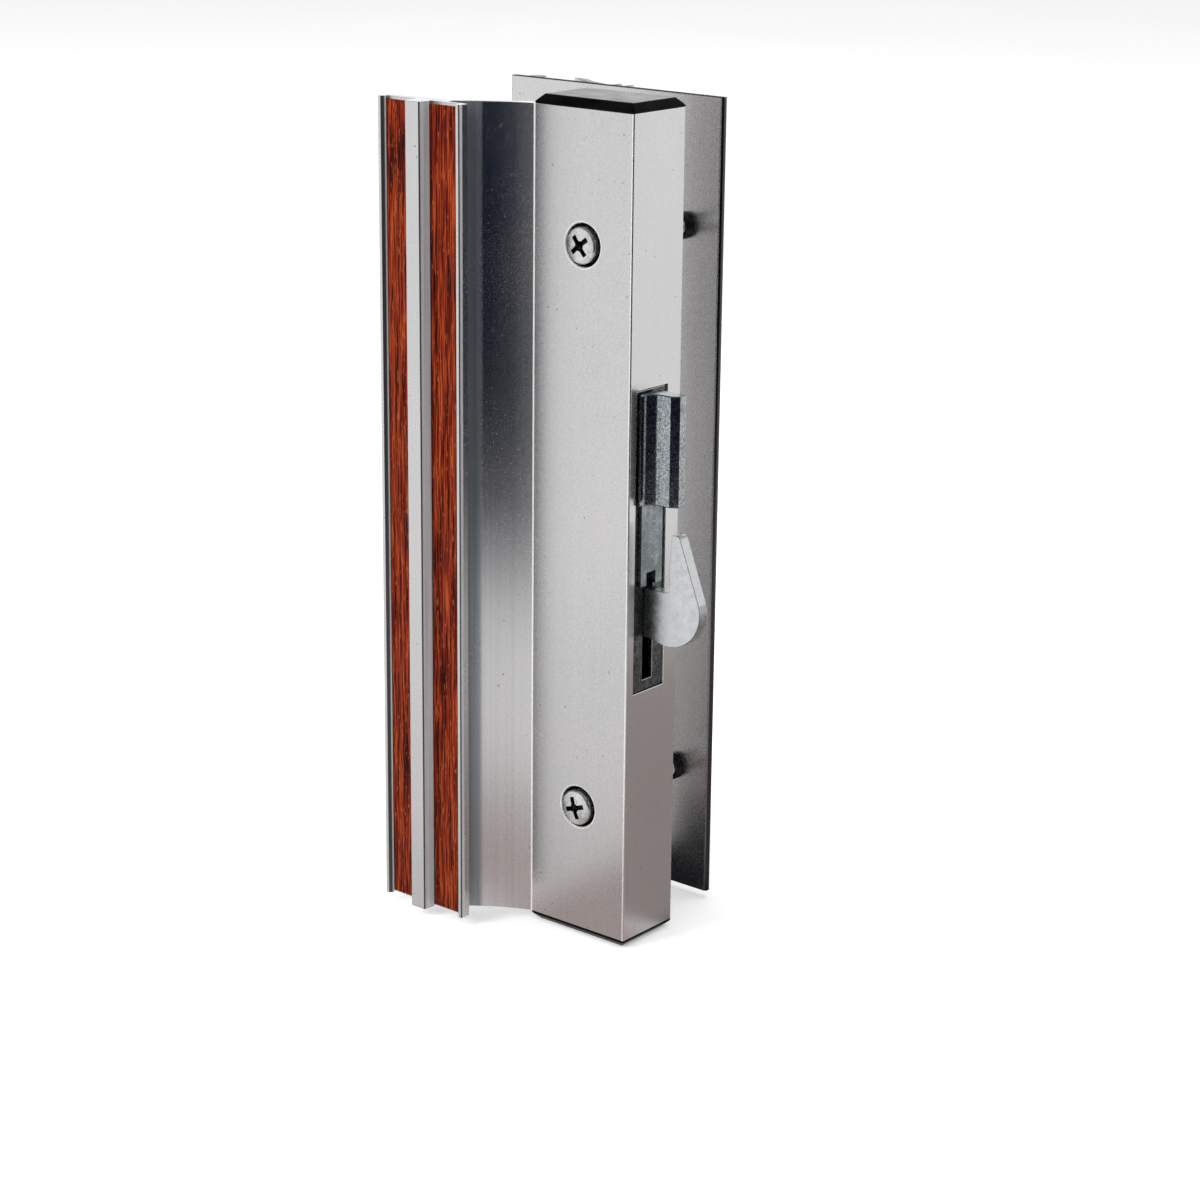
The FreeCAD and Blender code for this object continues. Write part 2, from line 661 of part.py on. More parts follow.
# inner plate, with a lug bent inwards beside the hook
PX1 = -FI - ST - 0.05
PX0 = PX1 - ST
plate = box("inner_plate", PX0, PX1, MY - 4.2, MY + 4.2, 76.0, 134.0)
arm_way = box("inner_plate_gap", PX0 - 1, PX1 + 1, HY0 - 0.05, HY1 + 0.05, 75.0, D("arm_high") + 0.05)
lug = box("inner_plate_lug", D("hook_in") + 1.2, PX0 + 0.3, HY0 - 0.05 - ST, HY0 - 0.05, 76.0, 89.5)
HR_Z = (79.4, 86.4)
holes = [rod("inner_plate_hole%d" % i, "x", PX0 - 1, MY, z, ST + 2, 1.5) for i, z in enumerate(RZ)]
holes += [rod("lug_hole%d" % i, "y", -6.0, HY0 - 3, z, 4.0, 1.2) for i, z in enumerate(HR_Z)]
node(cut("slide_plate", fuse("inner_plate_all", cut("inner_plate_cut", plate, arm_way), lug), *holes), "slide_plate")

rivets = []
for i, z in enumerate(RZ):
    rivets.append(fuse("slide_rivet%d" % i,
                       rod("slide_rivet_shank%d" % i, "x", PX0 - 0.2, MY, z, SF + 2.6 - PX0 + 0.2, 1.5),
                       rod("slide_rivet_head%d" % i, "x", PX0 - 1.1, MY, z, 1.1, 2.6)))
node(fuse("slide_rivets", *rivets), "slide_rivets")

AL, AH, HI, NA, TR = D("arm_low"), D("arm_high"), D("hook_in"), D("notch_a"), D("travel")
b = BodyMaker("latch_hook", 0.0, 0.0, 0.0)
NX = -3.25
b.pad(b.sketch([[
    (HI, 73.0),
    (NX, 73.0),
    (NX, AL),
    (1.0, AL),
    (5.6, AL - 1.0, 10.0, 1),
    (14.3, AL + 2.7, 9.5, 1),
    (15.9, AL + 11.0),
    (10.3, 102.8, 1.6, 1),
    (9.2, 104.1),
    (8.2, 104.1, 0.5, 1),
    (7.65, 103.6),
    (7.1, 97.6),
    (7.0, AH + 1.6, 1.2, -1),
    (6.1, AH),
    (NX, AH),
    (NX, 93.2),
    (HI, 93.2),
    (HI, NA + TR + 1.6),
    (HI + 0.8, NA + TR),
    (HI, NA + TR - 1.6),
    (HI, NA + 1.6),
    (HI + 0.8, NA),
    (HI, NA - 1.6),
]], "XZ_Plane", -HY0), HT, back=True)
for z in HR_Z:
    b.drill("Cylinder", "XZ_Plane", -6.0, z, -(HY1 + 0.5), HT + 1.0, 1.2)

rivets = []
for i, z in enumerate(HR_Z):
    y0, y1 = HY0 - 0.05 - ST, HY1
    rivets.append(fuse("hook_rivet%d" % i,
                       rod("hook_rivet_shank%d" % i, "y", -6.0, y0 - 0.2, z, y1 - y0 + 0.4, 1.2),
                       rod("hook_rivet_head_a%d" % i, "y", -6.0, y0 - 0.9, z, 0.9, 2.1),
                       rod("hook_rivet_head_b%d" % i, "y", -6.0, y1, z, 0.8, 2.1)))
node(fuse("hook_rivets", *rivets), "hook_rivets")

# ---------------------------------------------------------------------------
# 8. Detent spring on the back plate
# ---------------------------------------------------------------------------
BX = CB + ST                            # front of the back plate
b = BodyMaker("detent_spring")
t = 0.4
b.pad(b.sketch([[
    (BX, 62.0),
    (BX + t, 62.0),
    (BX + t, NA - 4.5),
    (HI + 0.3, NA - 0.35),
    (HI + 0.3, NA + 0.35),
    (BX + t, NA + 4.5),
    (BX + t, NA + 12.0),
    (BX, NA + 12.0),
    (BX, NA + 4.3),
    (HI - 0.12, NA + 0.2),
    (HI - 0.12, NA - 0.2),
    (BX, NA - 4.3),
]], "XZ_Plane", -Q.of(5.5)), 6.0, back=True)
b.drill("Cylinder", "YZ_Plane", 8.5, 65.0, BX - 0.5, 1.5, 1.0)
node(fuse("spring_rivet",
          rod("spring_rivet_shank", "x", CB - 0.1, 8.5, 65.0, ST + t + 0.2, 1.0),
          rod("spring_rivet_head_a", "x", CB - 0.7, 8.5, 65.0, 0.7, 1.9),
          rod("spring_rivet_head_b", "x", BX + t, 8.5, 65.0, 0.7, 1.9)), "spring_rivet")

# ---------------------------------------------------------------------------
# Checks, then one STEP file for each piece
# ---------------------------------------------------------------------------
doc.recompute()
for o in doc.Objects:
    bad = [s for s in o.State if s in ("Invalid", "Error")]
    if bad:
        raise RuntimeError("%s is %s" % (o.Name, bad))
names = [o.Label for o in NODES]
if len(set(names)) != len(names):
    raise RuntimeError("two pieces share a name")
os.makedirs("parts", exist_ok=True)
for o in NODES:
    s = o.Shape
    if s.isNull() or not s.isValid() or not s.Solids or s.Volume <= 0:
        raise RuntimeError("%s has no sound shape: null %s, valid %s" % (o.Label, s.isNull(), s.isNull() or s.isValid()))
    bb = s.BoundBox
    print("%-22s solids %d  vol %9.2f  x %7.2f %7.2f  y %7.2f %7.2f  z %8.2f %8.2f" % (
        o.Label, len(s.Solids), s.Volume, bb.XMin, bb.XMax, bb.YMin, bb.YMax, bb.ZMin, bb.ZMax))
for o in NODES:
    o.Shape.exportStep("parts/%s.step" % o.Label)
print("pieces: %d" % len(NODES))
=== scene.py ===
import bpy
import bmesh
import math
import random
from mathutils import Matrix, Vector


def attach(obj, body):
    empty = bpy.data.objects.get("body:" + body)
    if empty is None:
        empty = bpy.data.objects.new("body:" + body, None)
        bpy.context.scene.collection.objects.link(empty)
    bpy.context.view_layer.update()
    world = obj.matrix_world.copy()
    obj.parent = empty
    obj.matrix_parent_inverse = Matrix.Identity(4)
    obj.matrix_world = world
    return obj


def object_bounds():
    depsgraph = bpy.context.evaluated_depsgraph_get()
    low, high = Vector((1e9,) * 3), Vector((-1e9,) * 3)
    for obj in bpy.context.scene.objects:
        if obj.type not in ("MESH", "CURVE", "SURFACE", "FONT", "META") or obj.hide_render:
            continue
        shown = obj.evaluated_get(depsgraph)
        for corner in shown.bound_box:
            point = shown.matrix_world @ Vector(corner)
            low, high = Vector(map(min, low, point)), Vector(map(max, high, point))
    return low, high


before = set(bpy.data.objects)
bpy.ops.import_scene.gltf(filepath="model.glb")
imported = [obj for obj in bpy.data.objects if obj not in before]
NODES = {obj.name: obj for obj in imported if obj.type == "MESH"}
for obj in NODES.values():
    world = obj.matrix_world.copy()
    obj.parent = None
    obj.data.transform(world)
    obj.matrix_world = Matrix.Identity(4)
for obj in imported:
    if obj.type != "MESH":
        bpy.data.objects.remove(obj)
CAD_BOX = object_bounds()
MM = 0.001


# ---------------------------------------------------------------------------
# Node-tree helpers
# ---------------------------------------------------------------------------
class Mat:
    """A material and short calls that add nodes to it."""

    def __init__(self, name):
        self.mat = bpy.data.materials.new(name)
        self.mat.use_nodes = True
        self.nt = self.mat.node_tree
        self.nt.nodes.clear()
        self.out = self.nt.nodes.new("ShaderNodeOutputMaterial")
        self.p = self.nt.nodes.new("ShaderNodeBsdfPrincipled")
        self.nt.links.new(self.p.outputs["BSDF"], self.out.inputs["Surface"])
        self.coord = self.nt.nodes.new("ShaderNodeTexCoord").outputs["Object"]

    def put(self, socket, value):
        if isinstance(value, bpy.types.NodeSocket):
            self.nt.links.new(value, socket)
        elif value is not None:
            socket.default_value = value

    def set(self, name, value):
        self.put(self.p.inputs[name], value)

    def math(self, op, a, b=None, c=None, clamp=False):
        n = self.nt.nodes.new("ShaderNodeMath")
        n.operation = op
        n.use_clamp = clamp
        for i, v in enumerate((a, b, c)):
            if v is not None:
                self.put(n.inputs[i], v)
        return n.outputs[0]

    def mapping(self, scale=(1, 1, 1), rot=(0, 0, 0), loc=(0, 0, 0), vec=None):
        n = self.nt.nodes.new("ShaderNodeMapping")
        self.nt.links.new(vec or self.coord, n.inputs["Vector"])
        n.inputs["Scale"].default_value = scale
        n.inputs["Rotation"].default_value = rot
        n.inputs["Location"].default_value = loc
        return n.outputs[0]

    def noise(self, vec, scale, detail=3.0, rough=0.55, distort=0.0):
        n = self.nt.nodes.new("ShaderNodeTexNoise")
        self.nt.links.new(vec, n.inputs["Vector"])
        n.inputs["Scale"].default_value = scale
        n.inputs["Detail"].default_value = detail
        n.inputs["Roughness"].default_value = rough
        n.inputs["Distortion"].default_value = distort
        return n.outputs["Fac"]

    def voronoi(self, vec, scale, feature="F1", out="Distance"):
        n = self.nt.nodes.new("ShaderNodeTexVoronoi")
        n.feature = feature
        self.nt.links.new(vec, n.inputs["Vector"])
        n.inputs["Scale"].default_value = scale
        return n.outputs[out]

    def ramp(self, fac, stops, mode="LINEAR"):
        n = self.nt.nodes.new("ShaderNodeValToRGB")
        n.color_ramp.interpolation = mode
        els = n.color_ramp.elements
        while len(els) < len(stops):
            els.new(0.5)
        for e, (pos, col) in zip(els, stops):
            e.position = pos
            e.color = (*col, 1.0) if len(col) == 3 else col
        self.nt.links.new(fac, n.inputs["Fac"])
        return n.outputs["Color"]

    def range(self, v, a, b, c, d, clamp=True, smooth=False):
        n = self.nt.nodes.new("ShaderNodeMapRange")
        n.clamp = clamp
        if smooth:
            n.interpolation_type = "SMOOTHSTEP"
        self.nt.links.new(v, n.inputs["Value"])
        for key, x in (("From Min", a), ("From Max", b), ("To Min", c), ("To Max", d)):
            n.inputs[key].default_value = x
        return n.outputs["Result"]

    def mix(self, fac, a, b, blend="MIX"):
        n = self.nt.nodes.new("ShaderNodeMix")
        n.data_type = "RGBA"
        n.blend_type = blend
        self.put(n.inputs[0], fac)
        for socket, v in ((n.inputs[6], a), (n.inputs[7], b)):
            if isinstance(v, tuple):
                v = (*v, 1.0) if len(v) == 3 else v
            self.put(socket, v)
        return n.outputs[2]

    def split(self, vec=None):
        n = self.nt.nodes.new("ShaderNodeSeparateXYZ")
        self.nt.links.new(vec or self.coord, n.inputs[0])
        return n.outputs

    def normal(self):
        g = self.nt.nodes.new("ShaderNodeNewGeometry")
        return self.split(g.outputs["Normal"])

    def true_normal(self):
        g = self.nt.nodes.new("ShaderNodeNewGeometry")
        return self.split(g.outputs["True Normal"])

    def tangent_round_z(self):
        """Tangent that runs level round the upright axis, across the draw lines."""
        n = self.nt.nodes.new("ShaderNodeTangent")
        n.direction_type = "RADIAL"
        n.axis = "Z"
        self.nt.links.new(n.outputs[0], self.p.inputs["Tangent"])

    def edges(self, radius, full=0.25):
        """1 along sharp edges, 0 on open faces."""
        g = self.nt.nodes.new("ShaderNodeBevel")
        g.samples = 4
        g.inputs["Radius"].default_value = radius
        geo = self.nt.nodes.new("ShaderNodeNewGeometry")
        d = self.nt.nodes.new("ShaderNodeVectorMath")
        d.operation = "DOT_PRODUCT"
        self.nt.links.new(g.outputs[0], d.inputs[0])
        self.nt.links.new(geo.outputs["Normal"], d.inputs[1])
        return self.range(d.outputs["Value"], 1.0 - 0.01, 1.0 - full, 0.0, 1.0)

    def bump(self, height, strength, distance, normal=None):
        n = self.nt.nodes.new("ShaderNodeBump")
        n.inputs["Strength"].default_value = strength
        n.inputs["Distance"].default_value = distance
        self.nt.links.new(height, n.inputs["Height"])
        if normal is not None:
            self.nt.links.new(normal, n.inputs["Normal"])
        return n.outputs["Normal"]


# ---------------------------------------------------------------------------
# Places of a few features, metres, in the part's frame
# ---------------------------------------------------------------------------
OFFSET = Vector((14.85, -19.15, -101.6))      # sketch frame to the part's frame, mm


def at(x, y, z):
    """A point of the sketch frame (mm) in the part's frame (m)."""
    return (Vector((x, y, z)) + OFFSET) * MM


SCREW_X = -14.85
SCREWS = {"upper": 101.6 + 69.85, "lower": 101.6 - 69.85}


# ---------------------------------------------------------------------------
# Materials
# ---------------------------------------------------------------------------
def grip_flank_sheen(m, n):
    """1 on the side walls of the rib and the lips of the grip, which face the bright strips' channels; a painted
    reflection goes there.
    """
    x, y, z = m.split()
    zone = m.math("MULTIPLY", m.range(x, (-66.2 + OFFSET.x) * MM, (-66.0 + OFFSET.x) * MM, 0.0, 1.0),
                  m.range(x, (-39.3 + OFFSET.x) * MM, (-39.1 + OFFSET.x) * MM, 1.0, 0.0))
    zone = m.math("MULTIPLY", zone, m.range(y, (-14.30 + OFFSET.y) * MM, (-14.15 + OFFSET.y) * MM, 1.0, 0.0))
    return m.math("MULTIPLY", zone, m.range(m.math("ABSOLUTE", n[0]), 0.35, 0.60, 0.0, 1.0))


def grip_front(m):
    """1 in front of the grip's wood strips, where the rib and the lips stand."""
    x, y, z = m.split()
    zone = m.range(x, (-39.3 + OFFSET.x) * MM, (-39.1 + OFFSET.x) * MM, 1.0, 0.0)
    return m.math("MULTIPLY", zone, m.range(y, (-14.70 + OFFSET.y) * MM, (-14.45 + OFFSET.y) * MM, 1.0, 0.0))


def band(m, v, a, b, soft=0.02):
    """1 where the sketch-frame value v lies between a and b millimetres."""
    return m.math("MULTIPLY", m.range(v, (a - soft) * MM, (a + soft) * MM, 0.0, 1.0),
                  m.range(v, (b - soft) * MM, (b + soft) * MM, 1.0, 0.0))


def shade_strip_by_lip(m, n):
    """1 on the strip of the web beside the inner lip, where painted shade lies in the corner under the lip."""
    x, y, z = m.split()
    front = m.range(n[1], -0.30, -0.15, 1.0, 0.0)
    deep = m.range(y, (-12.2 + OFFSET.y) * MM, (-12.0 + OFFSET.y) * MM, 0.0, 1.0)
    return m.math("MULTIPLY", m.math("MULTIPLY", front, deep), m.range(x, (-41.7 + OFFSET.x) * MM, (-40.3 + OFFSET.x) * MM, 1.0, 0.0, smooth=True))


def painted_edge_highlights(m, n):
    """1 on the painted highlight lines along the two arrises of the box's front, round the latch slot and round the
    screw holes.
    """
    x, y, z = m.split()
    front = m.math("MULTIPLY", m.range(y, (0.10 + OFFSET.y) * MM, (0.16 + OFFSET.y) * MM, 1.0, 0.0), m.range(n[1], -0.80, -0.70, 1.0, 0.0))
    at_web = band(m, x, -29.92 + OFFSET.x, -29.45 + OFFSET.x, 0.06)
    at_edge = band(m, x, -0.52 + OFFSET.x, -0.20 + OFFSET.x, 0.05)
    lines = m.math("MULTIPLY", front, m.math("MAXIMUM", at_web, m.math("MULTIPLY", at_edge, 0.75)))
    rim_highlight = m.math("MULTIPLY", band(m, y, 1.9 + OFFSET.y, 14.9 + OFFSET.y), band(m, z, 62.6 + OFFSET.z, 139.2 + OFFSET.z))
    rim_highlight = m.math("MULTIPLY", rim_highlight, band_of(m, n[0], 0.20, 0.97))
    lines = m.math("MAXIMUM", lines, m.math("MULTIPLY", rim_highlight, m.range(x, (-0.6 + OFFSET.x) * MM, (-0.4 + OFFSET.x) * MM, 0.0, 0.8)))
    dx = m.math("SUBTRACT", x, (SCREW_X + OFFSET.x) * MM)
    dz = m.math("SUBTRACT", m.math("ABSOLUTE", z), 69.85 * MM)
    ring = m.math("SQRT", m.math("ADD", m.math("MULTIPLY", dx, dx), m.math("MULTIPLY", dz, dz)))
    ring = m.math("MULTIPLY", band(m, ring, 5.16, 5.66, 0.06), m.range(y, (0.28 + OFFSET.y) * MM, (0.36 + OFFSET.y) * MM, 0.7, 0.0))
    return m.math("MAXIMUM", lines, ring)


def band_of(m, v, a, b, soft=0.03):
    """1 where v lies between a and b."""
    return m.math("MULTIPLY", m.range(v, a - soft, a + soft, 0.0, 1.0), m.range(v, b - soft, b + soft, 1.0, 0.0))


def plate_painted_outlines(m, n):
    """1 on the long rounded edges of the outside plate and on the arrises of its cut ends, where a dark outline is
    painted as shade.
    """
    x, y, z = m.split()
    out = m.range(m.math("ABSOLUTE", m.math("SUBTRACT", x, (-37.0 + OFFSET.x) * MM)), 0.0324, 0.0330, 0.0, 1.0)
    sides = m.math("MULTIPLY", out, m.range(m.math("ABSOLUTE", n[0]), 0.25, 0.60, 0.0, 1.0))
    at_end = m.range(m.math("ABSOLUTE", z), 101.10 * MM, 101.25 * MM, 0.0, 1.0)
    return m.math("MAXIMUM", sides, m.math("MULTIPLY", at_end, band_of(m, m.math("ABSOLUTE", n[2]), 0.15, 0.97)))


def plate_thickness(m):
    """1 inside the thickness of the outside plate, 0 in its pull."""
    x, y, z = m.split()
    return m.range(y, (40.15 + OFFSET.y) * MM, (40.20 + OFFSET.y) * MM, 1.0, 0.0)


def aluminium(name, base, rough, streak=1.0, seed=0.0, end_tone=(0.80, 1.2), flank_sheen=None, shade_edge=None, end_from=0.92):
    """Clear-anodised extrusion: sand-like grain, faint draw lines along Z,
    saw marks on the cut ends, tiny pits and scuffs, rubbed edges."""
    m = Mat(name)
    lines = m.noise(m.mapping(scale=(1.0, 1.0, 0.010), loc=(seed, 0, 0)), 1500.0, 3.0, 0.62)
    broad = m.noise(m.mapping(scale=(1.0, 1.0, 0.030), loc=(seed, 0, 0)), 170.0, 2.0, 0.5)
    grain = m.noise(m.coord, 2900.0, 2.0, 0.7)
    cloud = m.noise(m.coord, 30.0, 4.0, 0.55)
    scuff = m.noise(m.mapping(scale=(1.0, 1.0, 0.30), rot=(0.35, 0.25, 0.1)), 330.0, 4.0, 0.7)
    pits = m.voronoi(m.coord, 520.0)
    pit_pick = m.noise(m.coord, 240.0, 1.0)
    n = m.true_normal()
    cut_end = m.range(m.math("ABSOLUTE", n[2]), end_from, end_from + 0.06, 0.0, 1.0)
    saw = m.noise(m.mapping(scale=(0.05, 1.0, 1.0), rot=(0.0, 0.0, 0.5)), 3300.0, 2.0, 0.6)

    tone = m.math("ADD", m.math("MULTIPLY", grain, 0.46), m.math("MULTIPLY", lines, 0.14 * streak))
    tone = m.math("ADD", tone, m.math("MULTIPLY", broad, 0.06 * streak))
    tone = m.math("ADD", tone, m.math("MULTIPLY", cloud, 0.16))
    tone = m.math("ADD", tone, 0.5 * (1.0 - 0.46 - 0.16 - 0.20 * streak))
    dark = tuple(c * 0.86 for c in base)
    light = tuple(min(1.0, c * 1.10) for c in base)
    col = m.ramp(tone, [(0.38, dark), (0.5, base), (0.62, light)])
    warm = m.range(cloud, 0.42, 0.62, 0.0, 0.35)
    col = m.mix(warm, col, (1.0, 0.965, 0.945), "MULTIPLY")
    scratch = m.range(scuff, 0.69, 0.77, 0.0, 1.0)
    col = m.mix(m.math("MULTIPLY", scratch, 0.15), col, tuple(c * 0.78 for c in base))
    pit = m.math("MULTIPLY", m.range(pits, 0.09, 0.16, 1.0, 0.0), m.range(pit_pick, 0.60, 0.64, 0.0, 1.0))
    col = m.mix(m.math("MULTIPLY", pit, 0.6), col, tuple(c * 0.35 for c in base))
    ends = m.ramp(saw, [(0.3, tuple(c * end_tone[0] for c in base)), (0.7, tuple(min(1, c * end_tone[1]) for c in base))])
    col = m.mix(m.math("MULTIPLY", cut_end, 0.85), col, ends)
    rub = m.edges(0.0003)
    col = m.mix(m.math("MULTIPLY", rub, m.range(scuff, 0.35, 0.60, 0.06, 0.32)), col, (0.82, 0.82, 0.82))
    metal = None
    if flank_sheen:
        # painted reflection: the grip's rib and lip side walls get a pale, barely metallic grey in place of the bright
        # surroundings they mirror
        f = flank_sheen(m, n)
        col = m.mix(f, col, m.ramp(lines, [(0.35, (0.40, 0.40, 0.41)), (0.65, (0.56, 0.56, 0.575))]))
        metal = m.range(f, 0.0, 1.0, 1.0, 0.12)
        # long die lines on the web, and painted shade on the strip of web beside the inner lip
        x, y, z = m.split()
        on_web = m.math("MULTIPLY", band(m, x, -45.0 + OFFSET.x, -30.0 + OFFSET.x, 0.1), m.range(n[1], -0.97, -0.90, 0.0, 1.0))
        draw = m.noise(m.mapping(scale=(1.0, 1.0, 0.004), loc=(seed + 1.7, 0, 0)), 900.0, 3.0, 0.65)
        col = m.mix(m.math("MULTIPLY", on_web, 0.13), col, m.ramp(draw, [(0.36, tuple(c * 0.62 for c in base)), (0.5, base), (0.64, tuple(min(1.0, c * 1.30) for c in base))]))
        # painted shade: a dark slate grey, less metallic, in the corner beside the inner lip
        d = shade_strip_by_lip(m, n)
        col = m.mix(d, col, m.ramp(draw, [(0.38, (0.195, 0.215, 0.235)), (0.62, (0.28, 0.30, 0.325))]))
        metal = m.math("MINIMUM", metal, m.range(d, 0.0, 1.0, 1.0, 0.60))
        # painted shade on the grip's right-facing arrises, painted highlights on the box's arrises, round the latch
        # slot and round the screw holes
        # painted shade: near black on the rounded right-facing arrises of the grip's rib and lips
        dark_arris_shade = m.math("MULTIPLY", m.math("MULTIPLY", band_of(m, n[0], 0.25, 0.97), m.range(n[1], -0.30, -0.20, 1.0, 0.0)), grip_front(m))
        col = m.mix(m.math("MULTIPLY", dark_arris_shade, 0.95), col, (0.012, 0.012, 0.015))
        # painted highlights: near white, less metallic lines along the box's front arrises, round the latch slot and
        # round the screw holes
        edge_highlight = painted_edge_highlights(m, n)
        col = m.mix(m.math("MULTIPLY", edge_highlight, 0.8), col, (0.90, 0.89, 0.90))
        metal = m.math("MINIMUM", metal, m.range(edge_highlight, 0.0, 1.0, 1.0, 0.45))
    if shade_edge:
        # painted shade: near black outlines on the plate's long edges and end arrises, and near black, dull cut ends of
        # its thickness
        col = m.mix(m.math("MULTIPLY", shade_edge(m, n), 0.93), col, (0.028, 0.028, 0.032))
        end = m.math("MULTIPLY", cut_end, plate_thickness(m))
        col = m.mix(m.math("MULTIPLY", end, 0.90), col, (0.035, 0.035, 0.038))
        metal = m.range(end, 0.0, 1.0, 1.0, 0.0)
        m.set("Specular IOR Level", m.range(end, 0.0, 1.0, 0.5, 0.0))
    m.set("Base Color", col)
    m.set("Metallic", 1.0 if metal is None else metal)
    r = m.range(m.math("ADD", m.math("MULTIPLY", grain, 0.6), m.math("MULTIPLY", cloud, 0.4)), 0.32, 0.68, rough - 0.035, rough + 0.05)
    r = m.math("ADD", r, m.math("MULTIPLY", scratch, 0.03))
    r = m.math("ADD", r, m.math("MULTIPLY", cut_end, 0.12))
    m.set("Roughness", r)
    m.set("Anisotropic", 0.55)
    m.tangent_round_z()
    b = m.bump(grain, 0.07, 0.00005)
    b = m.bump(lines, 0.03 * streak, 0.00004, b)
    b = m.bump(m.math("MULTIPLY", saw, cut_end), 0.5, 0.00006, b)
    b = m.bump(pit, 0.3, -0.00006, b)
    m.set("Normal", b)
    return m.mat


def wood(name, seed, x0, x1):
    """Reddish mahogany-grain strip: wavy dark and light fibres, short dark pores and a
    few orange flecks along Z; near the sides, x0 and x1 in millimetres, painted shade darkens it."""
    m = Mat(name)
    x, y, z = m.split()
    wave = m.noise(m.mapping(loc=(0, 0, seed)), 130.0, 2.0, 0.5)
    sway = m.nt.nodes.new("ShaderNodeCombineXYZ")
    m.nt.links.new(m.math("ADD", x, m.math("MULTIPLY", m.math("SUBTRACT", wave, 0.5), 0.0010)), sway.inputs[0])
    m.nt.links.new(y, sway.inputs[1])
    m.nt.links.new(z, sway.inputs[2])
    vec = sway.outputs[0]
    fibre = m.noise(m.mapping(loc=(seed, 0, 0), scale=(1.0, 1.0, 0.022), vec=vec), 2500.0, 1.0, 0.50)
    fine = m.noise(m.mapping(loc=(seed, 0, seed * 0.37), scale=(1.0, 1.0, 0.030), vec=vec), 3500.0, 1.0, 0.5)
    slow = m.noise(m.mapping(loc=(0, 0, seed), scale=(1.0, 1.0, 0.20)), 140.0, 2.0, 0.5)
    pores = m.noise(m.mapping(loc=(seed + 3.0, 0, 0), scale=(1.0, 1.0, 0.020), vec=vec), 2600.0, 1.0, 0.5)
    flecks = m.noise(m.mapping(loc=(seed + 9.0, 0, 0), scale=(1.0, 1.0, 0.14), vec=vec), 3000.0, 1.0, 0.5)
    t = m.math("ADD", m.math("MULTIPLY", fibre, 0.50), m.math("MULTIPLY", fine, 0.46))
    t = m.math("ADD", t, m.math("MULTIPLY", slow, 0.04))
    col = m.ramp(t, [
        (0.37, (0.010, 0.0010, 0.0010)),
        (0.445, (0.058, 0.0042, 0.0018)),
        (0.50, (0.130, 0.0110, 0.0033)),
        (0.555, (0.212, 0.0245, 0.0058)),
        (0.61, (0.300, 0.0500, 0.0110)),
    ])
    col = m.mix(m.range(flecks, 0.64, 0.71, 0.0, 0.6), col, (0.38, 0.095, 0.020))
    pore = m.range(pores, 0.60, 0.68, 0.0, 1.0)
    col = m.mix(m.math("MULTIPLY", pore, 0.7), col, (0.014, 0.0014, 0.0014))
    # painted shade: the strip darkens towards its sides, beside the lips
    side_shade = m.math("MAXIMUM", m.range(x, (x0 + 0.15 + OFFSET.x) * MM, (x0 + 0.55 + OFFSET.x) * MM, 1.0, 0.0),
                  m.range(x, (x1 - 0.60 + OFFSET.x) * MM, (x1 - 0.25 + OFFSET.x) * MM, 0.0, 1.0))
    col = m.mix(m.math("MULTIPLY", side_shade, 0.88), col, (0.010, 0.0012, 0.0015))
    m.set("Base Color", col)
    m.set("Roughness", m.range(fine, 0.3, 0.7, 0.50, 0.64))
    m.set("Specular IOR Level", 0.07)
    b = m.bump(fine, 0.25, 0.00006)
    b = m.bump(pore, 0.40, -0.00006, b)
    m.set("Normal", b)
    return m.mat


def black_plastic(name):
    """Moulded black cover: satin, faint cloudiness, rubbed edges."""
    m = Mat(name)
    tex = m.noise(m.coord, 2200.0, 3.0, 0.6)
    cloud = m.noise(m.coord, 190.0, 3.0, 0.6)
    scuff = m.noise(m.mapping(scale=(1.0, 0.25, 1.0), rot=(0, 0, 0.5)), 700.0, 3.0, 0.7)
    col = m.ramp(cloud, [(0.35, (0.0010, 0.0010, 0.0016)), (0.65, (0.0035, 0.0035, 0.0042))])
    col = m.mix(m.range(scuff, 0.66, 0.74, 0.0, 0.15), col, (0.03, 0.03, 0.034))
    rub = m.edges(0.0003)
    col = m.mix(m.math("MULTIPLY", rub, 0.06), col, (0.03, 0.03, 0.034))
    m.set("Base Color", col)
    m.set("Roughness", m.range(cloud, 0.3, 0.7, 0.16, 0.26))
    m.set("Specular IOR Level", 0.025)
    m.set("Normal", m.bump(tex, 0.10, 0.00005))
    return m.mat


